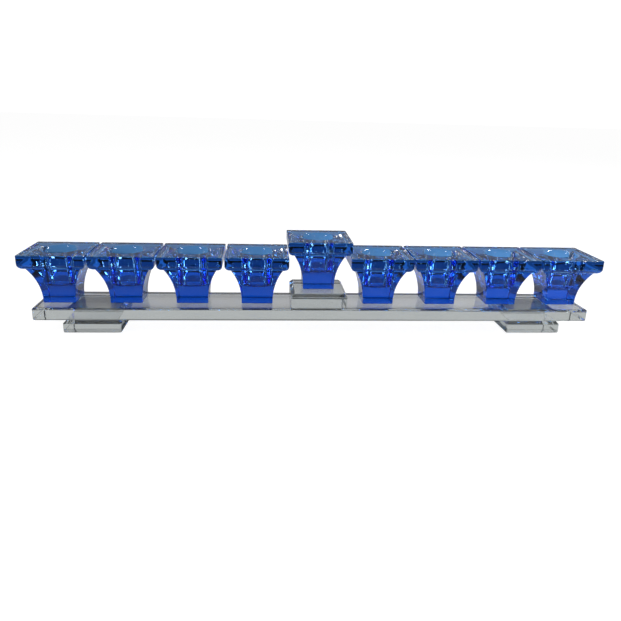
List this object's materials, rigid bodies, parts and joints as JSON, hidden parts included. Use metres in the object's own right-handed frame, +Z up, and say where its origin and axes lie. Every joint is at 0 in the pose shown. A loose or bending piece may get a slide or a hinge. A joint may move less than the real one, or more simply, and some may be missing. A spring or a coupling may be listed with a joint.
{
  "type": "glass menorah",
  "caption": "Low straight menorah of square flared blue glass cups on a clear crystal bar, with the shamash cup raised on a block in the middle and a clear foot under each end.",
  "frame": {"origin": "on the surface the feet stand on, under the middle of the outer box: midway along the bar, and midway between the bar's front and the back of the cups' lips", "axes": "+X along the bar towards the right-hand cup, +Y from front to back, +Z up along the candle bores"},
  "size_m": [0.3666, 0.0412, 0.0586],
  "materials": {
    "blue_glass": null,
    "clear_glass": "polished clear optical crystal with bevelled edges",
    "clear_adhesive": "clear cured adhesive, as bright as the glass beside it"
  },
  "bodies": {
    "root": {"cup_1": "blue_glass", "cup_2": "blue_glass", "cup_3": "blue_glass", "cup_4": "blue_glass", "cup_5": "blue_glass", "cup_6": "blue_glass", "cup_7": "blue_glass", "cup_8": "blue_glass", "shamash_cup": "blue_glass", "base_bar": "clear_glass", "riser_block": "clear_glass", "left_foot": "clear_glass", "right_foot": "clear_glass", "cup_films": "clear_adhesive", "riser_film": "clear_adhesive", "foot_films": "clear_adhesive"}
  },
  "joints": []
}
